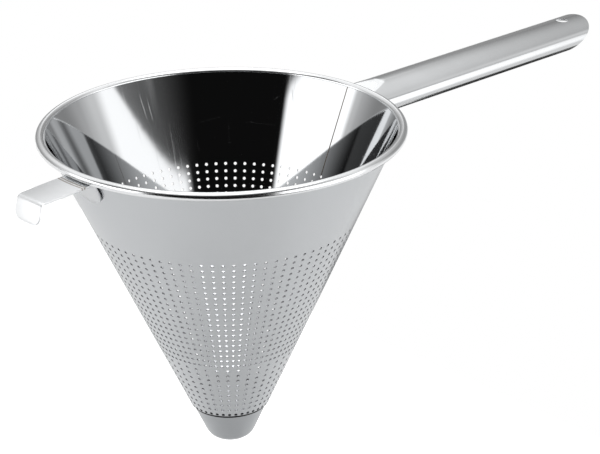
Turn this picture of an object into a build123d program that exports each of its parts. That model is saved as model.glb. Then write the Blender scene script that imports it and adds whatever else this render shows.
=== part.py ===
"""A hand-held conical strainer (chinois): punched cone, rim ring, tip cap, rest hook and tube handle.

The frame's origin is the centre of the mouth, on the plane across the top of the rim ring. +Z runs up
the cone's axis, +X along the handle, and the rest hook is on the opposite side, along -X.
"""

import os
from math import cos, radians, sin, tan

from build123d import *

# Mouth and rim ring
brim_diameter = 188.0
ring_diameter = 4.4

# Cone sheet: its slant runs from the line where the ring touches it down to the lower edge
wall_half_angle = 24.3
wall_length = 168.8
wall_top_lip = 0.9
sheet = 0.6

# Punching: the real sheet has 30 rings of 1.5 mm holes, 82 in each of the upper 20 rings and 41 below.
# One ring in three and one column in two are kept here, as wider six-sided holes at the same places.
hole_across_flats = 2.6
first_ring_down = 50.8
ring_pitch = 4.03
rings_per_step = 3
dense_rings = 20
all_rings = 30
dense_columns = 40
sparse_columns = 20

# Tip cap: a drawn cup whose collar sits inside the cone's lower edge
cap_sheet = 0.8
cap_collar = 3.4
cap_fit = 0.05
cap_drop = 21.9
cap_corner_radius = 9.0

# Rest hook: one bent strap, welded under the ring, that hangs on the edge of a pot
hook_width = 19.2
hook_thickness = 1.2
hook_ring_gap = 0.2
hook_reach = 27.7
hook_fall = 1.5
hook_flange_length = 14.0
hook_flange_corner_radius = 8.0
hook_lip_length = 11.0
hook_lip_lean = 15.0
hook_lip_corner_radius = 5.0
hook_bend_radius = 2.2

# Handle: an oval tube, welded to the wall, pressed flat where it passes below the ring
handle_width = 30.4
handle_height = 17.4
handle_wall = 1.2
handle_axis_drop = 11.9
handle_reach = 187.5
root_flat_length = 21.2
root_flat_gap = 1.5
scoop_length = 37.0
hanging_hole_diameter = 6.8
hanging_hole_inset = 15.5

# Seats and cuts
seat_gap = 0.05
overrun = 2.0

brim_radius = brim_diameter / 2
ring_radius = ring_diameter / 2
ring_path_radius = brim_radius - ring_radius
slope = radians(wall_half_angle)


def wall_point(down, out=0.0):
    """Radius and height of a point on the cone's outer face, `down` its slant from the ring's seat."""
    radius = ring_path_radius - (ring_radius - out) * cos(slope) - down * sin(slope)
    height = -ring_radius + (ring_radius - out) * sin(slope) - down * cos(slope)
    return radius, height


with BuildPart() as rim_ring:
    with BuildSketch(Plane.XZ):
        with Locations((ring_path_radius, -ring_radius)):
            Circle(ring_radius)
    revolve(axis=Axis.Z)
rim_ring.part.label = "rim_ring"


with BuildPart() as punch:
    with BuildSketch(Plane.XY):
        RegularPolygon(radius=hole_across_flats / 2, side_count=6, major_radius=False)
    extrude(amount=sheet + overrun, both=True)

punch_places = []
for ring in range(0, all_rings, rings_per_step):
    hole_radius, hole_height = wall_point(first_ring_down + ring * ring_pitch)
    columns = dense_columns if ring < dense_rings else sparse_columns
    for column in PolarLocations(hole_radius, columns):
        punch_places.append(column * Location((0, 0, hole_height), (0, 90 + wall_half_angle, 0)))

with BuildPart() as strainer_cone:
    with BuildSketch(Plane.XZ):
        with BuildLine():
            Polyline(
                wall_point(-wall_top_lip),
                wall_point(wall_length),
                wall_point(wall_length, -sheet),
                wall_point(-wall_top_lip, -sheet),
                close=True,
            )
        make_face()
    revolve(axis=Axis.Z)
    with Locations(*punch_places):
        add(punch.part, mode=Mode.SUBTRACT)
strainer_cone.part.label = "strainer_cone"

cap_top = wall_point(wall_length - cap_collar, -sheet - cap_fit)
cap_bottom = wall_point(wall_length, -sheet - cap_fit)[1] - cap_drop
cap_foot_radius = cap_top[0] - (cap_top[1] - cap_bottom) * tan(slope)

with BuildPart() as tip_cap:
    with BuildSketch(Plane.XZ):
        with BuildLine():
            foot = FilletPolyline(
                cap_top,
                (cap_foot_radius, cap_bottom),
                (0, cap_bottom),
                radius=cap_corner_radius,
            )
            offset(foot, amount=cap_sheet, side=Side.RIGHT, kind=Kind.ARC)
        make_face()
    revolve(axis=Axis.Z)
tip_cap.part.label = "tip_cap"

# The hook's centre line runs up the wall, turns out below the ring and drops to the lip
hook_centre_out = seat_gap + hook_thickness / 2
strap_height = -ring_diameter - hook_ring_gap - hook_thickness / 2
strap_slope = hook_fall / hook_reach
line_radius, line_height = wall_point(0, hook_centre_out)
strap_above = line_height - strap_height + strap_slope * (line_radius - ring_path_radius)
hook_top_down = strap_above / (cos(slope) + strap_slope * sin(slope))
flange_end = wall_point(hook_top_down + hook_flange_length, hook_centre_out)
flange_top = wall_point(hook_top_down, hook_centre_out)
strap_end = (ring_path_radius + hook_reach, strap_height - hook_fall)
lean = radians(hook_lip_lean)
lip_end = (strap_end[0] + hook_lip_length * sin(lean), strap_end[1] - hook_lip_length * cos(lean))

with BuildPart() as rest_hook:
    with BuildSketch(Plane.XZ):
        with BuildLine():
            FilletPolyline(
                (-flange_end[0], flange_end[1]),
                (-flange_top[0], flange_top[1]),
                (-strap_end[0], strap_end[1]),
                (-lip_end[0], lip_end[1]),
                radius=hook_bend_radius,
            )
        trace(line_width=hook_thickness)
    extrude(amount=hook_width / 2, both=True)
    across = rest_hook.edges().filter_by(GeomType.LINE).filter_by(Axis.Y, reverse=True)
    corners = across.group_by(SortBy.LENGTH)[0].group_by(Axis.X)
    fillet(corners[0], radius=hook_lip_corner_radius)
    fillet(corners[-1], radius=hook_flange_corner_radius)
rest_hook.part.label = "rest_hook"


handle_tip = brim_radius + handle_reach
handle_top = handle_height / 2 - handle_axis_drop
handle_bottom = handle_top - handle_height
flat_end = ring_path_radius + root_flat_length
flat_slope = (handle_top + ring_diameter + root_flat_gap) / root_flat_length


def oval_bar(inset):
    """The handle's oval bar with its root flat, every face of it `inset` inside the tube's outside."""
    with BuildPart() as bar:
        with BuildSketch(Plane.YZ):
            with Locations((0, -handle_axis_drop)):
                Ellipse(handle_width / 2 - inset, handle_height / 2 - inset)
        extrude(amount=handle_tip)
        with BuildSketch(Plane.XZ):
            with BuildLine():
                Polyline(
                    (0, 0),
                    (0, handle_top - inset - flat_slope * flat_end),
                    (flat_end, handle_top - inset),
                    (flat_end, 0),
                    close=True,
                )
            make_face()
        extrude(amount=handle_width, both=True, mode=Mode.SUBTRACT)
    return bar.part


handle_bar = oval_bar(0)
handle_bore = oval_bar(handle_wall)

with BuildPart() as wall_space:
    with BuildSketch(Plane.XZ):
        with BuildLine():
            Polyline(
                (0, 0),
                (wall_point(-wall_top_lip, seat_gap)[0], 0),
                wall_point(-wall_top_lip, seat_gap),
                wall_point(wall_length, seat_gap),
                (0, wall_point(wall_length, seat_gap)[1]),
                close=True,
            )
        make_face()
    revolve(axis=Axis.Z)

with BuildPart() as handle:
    add(handle_bar)
    add(handle_bore, mode=Mode.SUBTRACT)
    add(wall_space.part, mode=Mode.SUBTRACT)
    with BuildSketch(Plane.XZ):
        with BuildLine():
            Polyline(
                (handle_tip, handle_top - handle_wall / 2),
                (handle_tip - scoop_length, handle_bottom),
                (handle_tip - scoop_length, handle_bottom - overrun),
                (handle_tip + overrun, handle_bottom - overrun),
                (handle_tip + overrun, handle_top - handle_wall / 2),
                close=True,
            )
        make_face()
    extrude(amount=handle_width, both=True, mode=Mode.SUBTRACT)
    with BuildSketch(Plane.XY.offset(-handle_axis_drop)):
        with Locations((handle_tip - hanging_hole_inset, 0)):
            Circle(hanging_hole_diameter / 2)
    extrude(amount=handle_height, mode=Mode.SUBTRACT)
handle.part.label = "handle"


os.makedirs("parts", exist_ok=True)
export_step(rim_ring.part, "parts/rim_ring.step")
export_step(strainer_cone.part, "parts/strainer_cone.step")
export_step(tip_cap.part, "parts/tip_cap.step")
export_step(rest_hook.part, "parts/rest_hook.step")
export_step(handle.part, "parts/handle.step")
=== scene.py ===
"""Studio picture of a hand-held conical strainer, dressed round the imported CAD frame.

The row frame's origin is the centre of the mouth, on top of the rim ring. +Z runs up the cone's axis,
+X along the handle and the rest hook is along -X. Lengths in the classes are in millimetres.
"""

import logging
import math
from collections.abc import Callable, Sequence
from dataclasses import dataclass
from enum import Enum

import bmesh
import bpy
import numpy as np
from mathutils import Matrix, Vector

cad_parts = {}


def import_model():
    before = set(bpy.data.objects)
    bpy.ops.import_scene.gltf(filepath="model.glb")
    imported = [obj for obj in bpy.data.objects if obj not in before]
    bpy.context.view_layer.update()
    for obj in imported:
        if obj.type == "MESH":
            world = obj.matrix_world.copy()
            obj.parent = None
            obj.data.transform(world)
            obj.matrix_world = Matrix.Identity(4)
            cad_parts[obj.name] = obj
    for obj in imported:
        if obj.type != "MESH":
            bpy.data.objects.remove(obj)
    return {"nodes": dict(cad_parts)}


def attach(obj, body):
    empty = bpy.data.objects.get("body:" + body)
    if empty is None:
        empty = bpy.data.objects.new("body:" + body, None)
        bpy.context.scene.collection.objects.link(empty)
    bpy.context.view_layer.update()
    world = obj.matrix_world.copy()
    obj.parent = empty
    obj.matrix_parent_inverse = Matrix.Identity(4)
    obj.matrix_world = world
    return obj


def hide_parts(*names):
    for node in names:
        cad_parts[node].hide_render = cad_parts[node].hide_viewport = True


LOG = logging.getLogger("strainer")
MM = 0.001
TURN = 2 * math.pi
DEGREES = 180 / math.pi
BODY = "root"

# The colour inputs of a Mix node, by number, because its names stand there more than once
MIX_SHARE, MIX_FIRST, MIX_SECOND = 0, 6, 7

Colour = tuple[float, float, float]
Pair = tuple[float, float]
Steps = tuple[float, ...]


class Value:
    """A node's output that takes part in Python sums, each of which adds a Math node."""

    def __init__(self, graph: "Graph", socket: bpy.types.NodeSocket) -> None:
        """Wraps an output of one of a graph's nodes."""
        self.graph = graph
        self.socket = socket

    def math(self, operation: str, *others: "Value | float") -> "Value":
        """Adds a Math node on this value, with the others as its further inputs."""
        return self.graph.add("ShaderNodeMath", {"operation": operation}, {0: self, **dict(enumerate(others, 1))})

    def flipped(self, operation: str, other: float) -> "Value":
        """Adds a Math node whose first input is a number and whose second is this value."""
        return self.graph.add("ShaderNodeMath", {"operation": operation}, {0: other, 1: self})

    def __add__(self, other: "Value | float") -> "Value":
        """Sum."""
        return self.math("ADD", other)

    __radd__ = __add__

    def __sub__(self, other: "Value | float") -> "Value":
        """Difference."""
        return self.math("SUBTRACT", other)

    def __rsub__(self, other: float) -> "Value":
        """Difference from a number."""
        return self.flipped("SUBTRACT", other)

    def __mul__(self, other: "Value | float") -> "Value":
        """Product."""
        return self.math("MULTIPLY", other)

    __rmul__ = __mul__

    def __truediv__(self, other: "Value | float") -> "Value":
        """Quotient."""
        return self.math("DIVIDE", other)

    def __rtruediv__(self, other: float) -> "Value":
        """A number divided by this value."""
        return self.flipped("DIVIDE", other)

    def ramp(self, low: float, high: float, start: float = 0.0, end: float = 1.0) -> "Value":
        """Smooth step between two levels.

        Args:
            low: Where the step starts.
            high: Where it ends.
            start: The result below `low`.
            end: The result above `high`.

        Returns:
            The stepped value.
        """
        return self.graph.add(
            "ShaderNodeMapRange",
            {"interpolation_type": "SMOOTHSTEP", "clamp": True},
            {"Value": self, "From Min": low, "From Max": high, "To Min": start, "To Max": end},
        )

    def band(self, low: float, high: float, soft: float) -> "Value":
        """1 between two levels and 0 outside them, with soft edges of the given width."""
        return self.ramp(low - soft, low) * self.ramp(high, high + soft, 1.0, 0.0)


class Graph:
    """Builds one node tree, node by node."""

    def __init__(self, tree: bpy.types.NodeTree) -> None:
        """Starts on a shader or geometry tree, and empties it."""
        self.tree = tree
        tree.nodes.clear()

    def node(self, kind: str, settings: dict | None = None, values: dict | None = None) -> bpy.types.Node:
        """Adds a node.

        Args:
            kind: The node's type.
            settings: The node's own properties, set first, because its inputs can depend on them.
            values: What goes into its inputs, by name or number: numbers, vectors or links.

        Returns:
            The node.
        """
        made = self.tree.nodes.new(kind)
        for name, setting in (settings or {}).items():
            setattr(made, name, setting)
        for key, value in (values or {}).items():
            socket = made.inputs[key]
            if isinstance(value, Value):
                self.tree.links.new(value.socket, socket)
            else:
                socket.default_value = value
        return made

    def add(self, kind: str, settings: dict | None = None, values: dict | None = None, out: str = "") -> Value:
        """Adds a node and returns one of its outputs.

        Args:
            kind: The node's type.
            settings: The node's own properties.
            values: What goes into its inputs.
            out: The output's name. Without one, it is the first output that the settings enable.

        Returns:
            The output.
        """
        made = self.node(kind, settings, values)
        return Value(self, made.outputs[out] if out else next(s for s in made.outputs if s.enabled))

    def mix(self, share: "Value | float", first: "Value | Sequence", second: "Value | Sequence") -> Value:
        """Mixes two colours.

        Args:
            share: How much of the second colour shows.
            first: The first colour.
            second: The second colour.

        Returns:
            The mixed colour.
        """
        return self.add(
            "ShaderNodeMix",
            {"data_type": "RGBA", "clamp_factor": True},
            {MIX_SHARE: share, MIX_FIRST: first, MIX_SECOND: second},
        )

    def vector(self, x: "Value | float", y: "Value | float", z: "Value | float") -> Value:
        """Puts three values together as a vector."""
        return self.add("ShaderNodeCombineXYZ", None, {0: x, 1: y, 2: z})

    def parts(self, vector: Value) -> tuple[Value, Value, Value]:
        """Takes a vector apart into its three values."""
        made = self.node("ShaderNodeSeparateXYZ", None, {0: vector})
        return tuple(Value(self, socket) for socket in made.outputs)

    def here(self) -> Value:
        """The surface's own place, on Object coordinates in metres."""
        return self.add("ShaderNodeTexCoord", None, None, "Object")

    def move(self, geometry: Value, **inputs: Value) -> Value:
        """Adds a Set Position node, with its Position, Offset or Selection."""
        return self.add("GeometryNodeSetPosition", None, {"Geometry": geometry, **inputs})

    def keep(self, geometry: Value, name: str, kind: str, value: "Value | float") -> Value:
        """Stores a value on a geometry's points under a name, as data of one kind."""
        settings = {"data_type": kind, "domain": "POINT"}
        values = {"Geometry": geometry, "Name": name, "Value": value}
        return self.add("GeometryNodeStoreNamedAttribute", settings, values)

    def recall(self, name: str, kind: str) -> Value:
        """Reads a stored value."""
        return self.add("GeometryNodeInputNamedAttribute", {"data_type": kind}, {"Name": name})

    def noise(self, vector: Value, scale: float, detail: float, rough: float) -> Value:
        """Noise between 0 and 1 over a vector."""
        return self.add(
            "ShaderNodeTexNoise",
            {"noise_dimensions": "3D"},
            {"Vector": vector, "Scale": scale, "Detail": detail, "Roughness": rough},
            "Fac",
        )


class Grain(Enum):
    """The way that a sheet's or tube's polishing marks run."""

    AROUND = "round the cone's axis"
    ALONG = "along the handle's axis"
    ACROSS = "across the strap"


# How much of a length along X counts in a grain that runs along it, so that its marks are long
STRAIGHT_GRAIN = {Grain.ALONG: 0.02, Grain.ACROSS: 0.05}
# How much the turn, the height and the radius count in a grain that runs round the axis
ROUND_GRAIN = (1.5, 1.1, 0.45)


@dataclass(frozen=True)
class Steel:
    """One finish of stainless steel.

    Attributes:
        name: The material's name.
        colour: Its reflected colour, linear.
        roughness: Its mean roughness.
        spread: How far the roughness varies over the surface.
        grain: The way that its polishing marks run.
        mark_depth: The height of its polishing marks, in millimetres.
        marks_per_mm: How many marks cross a millimetre.
        stain: How much darker its faint stains are.
        cloud_per_mm: How many stains cross a millimetre.
        cloud_ends: The cloud's levels between which a stain comes in.
        smudge_per_mm: How many dull smudges cross a millimetre.
        smudge_ends: The levels between which a smudge comes in.
        smudge_share: How much of the spread a smudge adds.
    """

    name: str
    colour: Colour
    roughness: float
    spread: float
    grain: Grain
    mark_depth: float
    marks_per_mm: float = 3.0
    stain: float = 0.04
    cloud_per_mm: float = 0.035
    cloud_ends: Pair = (0.35, 0.7)
    smudge_per_mm: float = 0.09
    smudge_ends: Pair = (0.45, 0.75)
    smudge_share: float = 0.3

    def grain_place(self, graph: Graph) -> Value:
        """Gives the surface's place along and across its grain, in millimetres.

        Args:
            graph: The material's graph.

        Returns:
            A vector that is long along the grain and short across it.
        """
        x, y, z = self.spot(graph)
        if self.grain in STRAIGHT_GRAIN:
            return graph.vector(x * STRAIGHT_GRAIN[self.grain], y, z)
        turned, raised, spread = ROUND_GRAIN
        radius = (x * x + y * y).math("SQRT")
        turn = y.math("ARCTAN2", x)
        return graph.vector(turn.math("SINE") * turned, turn.math("COSINE") * turned, z * raised - radius * spread)

    def make(self) -> bpy.types.Material:
        """Builds the material.

        Returns:
            The material.
        """
        material = bpy.data.materials.new(self.name)
        material.use_nodes = True
        graph = Graph(material.node_tree)
        self.fill(graph)
        return material

    def spot(self, graph: Graph) -> tuple[Value, Value, Value]:
        """The surface's place in the row frame, in millimetres."""
        x, y, z = graph.parts(graph.here())
        return x / MM, y / MM, z / MM

    def height(self, graph: Graph) -> Value:
        """The surface's height in the row frame, in millimetres."""
        return self.spot(graph)[2]

    def tint(self, graph: Graph, colour: Value) -> Value:
        """Draws over the colour. A plain finish leaves it as it is."""
        return colour

    def dull(self, graph: Graph) -> Value | float:
        """How much rougher the surface is in places. A plain finish is nowhere so."""
        return 0.0

    def fill(self, graph: Graph) -> None:
        """Fills the material's graph with its shader.

        Args:
            graph: The material's graph.
        """
        marks, cloud = self.marks(graph), self.cloud(graph)
        smudge = graph.noise(graph.here(), self.smudge_per_mm / MM, detail=2.0, rough=0.5).ramp(*self.smudge_ends)
        roughness = (marks - 0.5 + (cloud - 0.5) + smudge * self.smudge_share) * self.spread
        colour = self.tint(graph, self.stained(graph, cloud))
        self.shade(graph, colour, roughness + self.roughness + self.dull(graph), marks)

    def marks(self, graph: Graph) -> Value:
        """The polishing marks, from 0 to 1."""
        return graph.noise(self.grain_place(graph), self.marks_per_mm, detail=3.0, rough=0.6)

    def cloud(self, graph: Graph) -> Value:
        """The faint cloud of wear and stains, from 0 to 1."""
        return graph.noise(graph.here(), self.cloud_per_mm / MM, detail=3.0, rough=0.55)

    def stained(self, graph: Graph, cloud: Value) -> Value:
        """The metal's colour, darker where the cloud is thick."""
        darker = tuple(c * (1 - self.stain) for c in self.colour)
        return graph.mix(cloud.ramp(*self.cloud_ends), (*self.colour, 1), (*darker, 1))

    def shade(self, graph: Graph, colour: Value, roughness: Value, height: Value) -> None:
        """Ends the graph in the metal's shader.

        Args:
            graph: The material's graph.
            colour: The reflected colour.
            roughness: The roughness.
            height: The height of the polishing marks, as a share of their depth.
        """
        bump = graph.add("ShaderNodeBump", None, {
            "Strength": 1.0, "Distance": self.mark_depth * MM, "Height": height,
        })
        shader = graph.add("ShaderNodeBsdfPrincipled", None, {
            "Base Color": colour, "Metallic": 1.0, "Roughness": roughness, "Normal": bump,
        })
        graph.node("ShaderNodeOutputMaterial", None, {"Surface": shader})


@dataclass(frozen=True)
class ConeSteel(Steel):
    """The cone's finish: satin outside, and polished inside.

    Attributes:
        inside_colour: The polished side's reflected colour, linear.
        inside_roughness: The polished side's roughness.
        skin: The depth below the outer face at which the polished side starts, in millimetres.
        seat_radius: The radius of the outer face at the ring's seat, in millimetres.
        seat_height: The height of that seat, in millimetres.
        half_angle: The cone's half-angle, in degrees.
        hole_wall_shade_colour: The dark colour painted on the sheet's cut edges as shade in the holes, linear.
        cut_depths: The depths between which the surface is a cut edge, in millimetres.
        hole_shade_top: The height below which cut edges get this painted shade, in millimetres.
        seam_ends: The distances from the middle of the sheet's joint between which it fades, in millimetres.
        seam_colour: The joint's colour, linear.
        seam_dull: How much rougher the joint is.
        cut_dull: How much rougher a cut edge is.
        inside_spread: How much of the roughness's variation the polished side has.
        inside_relief: How much of the marks' height the polished side has.
        scuffs_per_mm: How many fine scuffs cross a millimetre of the polished side.
        scuff_ends: The levels between which a scuff comes in.
        scuffed: How much rougher a scuff is.
        streak_ends: The levels between which a rubbed streak comes in.
        streaked: How much rougher a streak is.
        scratched: How much rougher a single scratch is.
        scratch_width: The distances from a scratch's middle between which it fades, in millimetres.
        scratches: The single scratches. Each has its turn about the axis in degrees, its height, its lean
            in degrees and half its length.
    """

    cloud_per_mm: float = 0.03
    inside_colour: Colour = (0.60, 0.61, 0.62)
    inside_roughness: float = 0.04
    skin: float = 0.3
    seat_radius: float = 0.0
    seat_height: float = 0.0
    half_angle: float = 0.0
    hole_wall_shade_colour: Colour = (0.16, 0.16, 0.165)
    cut_depths: Pair = (0.07, 0.53)
    hole_shade_top: float = -20.0
    seam_ends: Pair = (0.28, 0.4)
    seam_colour: Colour = (0.15, 0.125, 0.105)
    seam_dull: float = 0.3
    cut_dull: float = 0.4
    inside_spread: float = 0.12
    inside_relief: float = 0.15
    scuffs_per_mm: float = 9.0
    scuff_ends: Pair = (0.68, 0.8)
    scuffed: float = 0.02
    streak_ends: Pair = (0.6, 0.8)
    streaked: float = 0.04
    scratched: float = 0.13
    scratch_width: Pair = (0.05, 0.25)
    scratches: tuple[tuple[float, float, float, float], ...] = (
        (46.7, -32.0, 90.0, 10.0),
        (54.0, -25.2, -11.0, 12.0),
        (35.0, -27.0, 3.0, 13.0),
        (28.5, -14.0, -40.0, 3.0),
        (22.0, -12.0, 75.0, 4.5),
        (60.0, -38.0, 84.0, 6.0),
        (80.0, -14.0, 86.0, 9.0),
        (77.5, -17.0, 88.0, 7.0),
    )

    def depth(self, graph: Graph) -> Value:
        """How deep the surface lies below the sheet's outer face, in millimetres."""
        x, y, z = self.spot(graph)
        radius = (x * x + y * y).math("SQRT")
        slope = math.radians(self.half_angle)
        level = self.seat_radius * math.cos(slope) - self.seat_height * math.sin(slope)
        return level - (radius * math.cos(slope) - z * math.sin(slope))

    def seam(self, graph: Graph) -> Value:
        """1 on the joint of the rolled sheet, which lies below the handle, and 0 off it."""
        x, y, _ = self.spot(graph)
        return y.math("ABSOLUTE").ramp(*self.seam_ends, 1.0, 0.0) * x.math("GREATER_THAN", 0.0)

    def lines(self, graph: Graph) -> Value:
        """1 on the single scratches and 0 off them."""
        x, y, z = self.spot(graph)
        turn = y.math("ARCTAN2", x) * DEGREES
        mm_per_degree = 1.36
        total: Value | float = 0.0
        for azimuth, height, lean, half in self.scratches:
            across, up = (turn - azimuth) * mm_per_degree, z - height
            cosine, sine = math.cos(math.radians(lean)), math.sin(math.radians(lean))
            along = (across * cosine + up * sine).math("ABSOLUTE")
            off = (up * cosine - across * sine).math("ABSOLUTE")
            total = off.ramp(*self.scratch_width, 1.0, 0.0) * along.ramp(half / 5, half, 1.0, 0.0) + total
        return total

    def streaks(self, graph: Graph) -> Value:
        """Faint rubbed lines that run down the wall, from 0 to 1."""
        x, y, z = self.spot(graph)
        turn = y.math("ARCTAN2", x)
        across, down = 60.0, 0.03
        place = graph.vector(turn.math("COSINE") * across, turn.math("SINE") * across, z * down)
        return graph.noise(place, 1.0, detail=1.0, rough=0.5).ramp(*self.streak_ends)

    def fill(self, graph: Graph) -> None:
        """Fills the material's graph with its shader.

        Args:
            graph: The material's graph.
        """
        depth = self.depth(graph)
        inside = depth.math("GREATER_THAN", self.skin)
        # the cut-edge mask makes the edges rougher and also carries their painted shade
        cut = depth.math("GREATER_THAN", self.cut_depths[0]) * depth.math("LESS_THAN", self.cut_depths[1])
        cut = cut * self.height(graph).math("LESS_THAN", self.hole_shade_top)
        seam, marks, cloud = self.seam(graph), self.marks(graph), self.cloud(graph)
        varied = (marks - 0.5 + (cloud - 0.5)) * self.spread
        scuff = graph.noise(self.grain_place(graph), self.scuffs_per_mm, detail=1.0, rough=0.4)
        scuff = scuff.ramp(*self.scuff_ends)
        polished = varied * self.inside_spread + scuff * self.scuffed + self.streaks(graph) * self.streaked
        polished = polished + self.lines(graph) * self.scratched + seam * self.seam_dull + self.inside_roughness
        roughness = (varied + self.roughness) * (1 - inside) + polished * inside + cut * self.cut_dull
        colour = graph.mix(inside, self.stained(graph, cloud), (*self.inside_colour, 1))
        # painted shade: the hole walls are made dark so that the holes look dark
        colour = graph.mix(cut, colour, (*self.hole_wall_shade_colour, 1))
        colour = graph.mix(seam, colour, (*self.seam_colour, 1))
        self.shade(graph, colour, roughness, marks * (1 - inside * (1 - self.inside_relief)))


@dataclass(frozen=True)
class CapSteel(Steel):
    """The cap's finish, with a painted shadow: a dark band on the collar at the joint, standing in for the shade
    in the gap below the cone's edge.

    Attributes:
        joint_shade_top: The height of the painted shadow's upper edge, in millimetres.
        joint_shade_width: The painted shadow's width, in millimetres.
        joint_shade_cover: How far up the collar the painted shadow runs, behind the cone's edge.
        joint_shade_blur: The width of its blurred edges, in millimetres.
        joint_shade_colour: The painted shadow's colour, linear.
    """

    joint_shade_top: float = 0.0
    joint_shade_width: float = 1.3
    joint_shade_cover: float = 4.0
    joint_shade_blur: float = 0.12
    joint_shade_colour: Colour = (0.03, 0.03, 0.03)

    def tint(self, graph: Graph, colour: Value) -> Value:
        """Paints the shadow of the gap below the cone's edge over the colour, as a dark band."""
        low, high = self.joint_shade_top - self.joint_shade_width, self.joint_shade_top + self.joint_shade_cover
        # painted shadow: a near-black band on the collar just below the cone's edge, for the shade in the gap
        line = self.height(graph).band(low, high, self.joint_shade_blur)
        return graph.mix(line, colour, (*self.joint_shade_colour, 1))


@dataclass(frozen=True)
class HookSteel(Steel):
    """The strap's finish, with painted shade: two dark bands just outside the rim ring that stand in for the
    ring's reflection and shadow on the strap, and a painted highlight on its lip.

    Attributes:
        lines: The painted bands' distances from the cone's axis, in millimetres.
        ring_shade_width: The painted bands' width, in millimetres.
        ring_shade_blur: The width of their blurred edges, in millimetres.
        ring_shade_share: How much of their colour shows.
        ring_shade_colour: The painted shade's colour, linear.
        lip_highlight_ends: The distances from the cone's axis between which the lip's painted highlight comes in.
        lip_highlight_colour: The paler colour painted on the lip as its highlight, linear.
    """

    lines: tuple[float, ...] = (94.9, 96.4)
    ring_shade_width: float = 0.4
    ring_shade_blur: float = 0.3
    ring_shade_share: float = 0.75
    ring_shade_colour: Colour = (0.22, 0.17, 0.12)
    lip_highlight_ends: Pair = (118.5, 120.0)
    lip_highlight_colour: Colour = (0.93, 0.94, 0.95)

    def tint(self, graph: Graph, colour: Value) -> Value:
        """Paints the lip's highlight and the ring's reflection and shadow over the colour."""
        x, y, _ = self.spot(graph)
        radius = (x * x + y * y).math("SQRT")
        # painted highlight: the hanging lip is made paler than the rest of the strap
        colour = graph.mix(radius.ramp(*self.lip_highlight_ends), colour, (*self.lip_highlight_colour, 1))
        # painted shade: dark bands under the ring's edge stand in for its reflection and shadow on the strap
        for line in self.lines:
            mask = radius.band(line, line + self.ring_shade_width, self.ring_shade_blur) * self.ring_shade_share
            colour = graph.mix(mask, colour, (*self.ring_shade_colour, 1))
        return colour


@dataclass(frozen=True)
class TubeSteel(Steel):
    """The handle's finish: polished outside, and matt inside the tube and on the hole's edge, where it is also
    painted pale as painted light.

    Attributes:
        middle: The height of the tube's axis, in millimetres.
        half_axes: The oval half-way through the tube's wall, in millimetres.
        inside_colour: The inside's colour, paler than the outside as painted light, linear.
        inside_dull: How much rougher the inside is.
        hole: The hanging hole's place along the handle and its radius, in millimetres.
        hole_margin: How far the hole's edge counts, as a share of its radius squared.
    """

    middle: float = 0.0
    half_axes: Pair = (15.0, 8.0)
    hole: Pair = (266.0, 3.4)
    hole_margin: float = 1.04
    inside_colour: Colour = (0.88, 0.89, 0.90)
    inside_dull: float = 0.42

    def inside(self, graph: Graph) -> Value:
        """1 on the tube's inside and on the hole's edge, and 0 on its outside."""
        x, y, z = self.spot(graph)
        across, up = y / self.half_axes[0], (z - self.middle) / self.half_axes[1]
        along, beside = (x - self.hole[0]) / self.hole[1], y / self.hole[1]
        edge = (along * along + beside * beside).math("LESS_THAN", self.hole_margin)
        return (across * across + up * up).math("LESS_THAN", 1.0).math("MAXIMUM", edge)

    def tint(self, graph: Graph, colour: Value) -> Value:
        """Makes the inside paler: painted light on the tube's inside and the hole's edge."""
        # painted light: the inside and the hole's edge get a paler colour than the outside
        return graph.mix(self.inside(graph), colour, (*self.inside_colour, 1))

    def dull(self, graph: Graph) -> Value:
        """Makes the inside matt."""
        return self.inside(graph) * self.inside_dull


def add_object(name: str, mesh: bpy.types.Mesh, material: bpy.types.Material) -> bpy.types.Object:
    """Links a mesh to the scene as a finished piece.

    Args:
        name: The piece's name.
        mesh: Its mesh, in the row frame.
        material: Its material.

    Returns:
        The object.
    """
    mesh.materials.clear()
    mesh.materials.append(material)
    made = bpy.data.objects.new(name, mesh)
    bpy.context.scene.collection.objects.link(made)
    return made


def smooth(mesh: bpy.types.Mesh, crease: float) -> None:
    """Shades a mesh smooth but for edges sharper than an angle in degrees."""
    mesh.shade_smooth()
    mesh.set_sharp_from_angle(angle=math.radians(crease))


def mount(piece: bpy.types.Object, node: str) -> bpy.types.Object:
    """Fixes a finished piece to the frame in place of a CAD node.

    Args:
        piece: The piece.
        node: The CAD node that it stands for.

    Returns:
        The piece.
    """
    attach(piece, BODY)
    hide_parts(node)
    return piece


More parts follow.
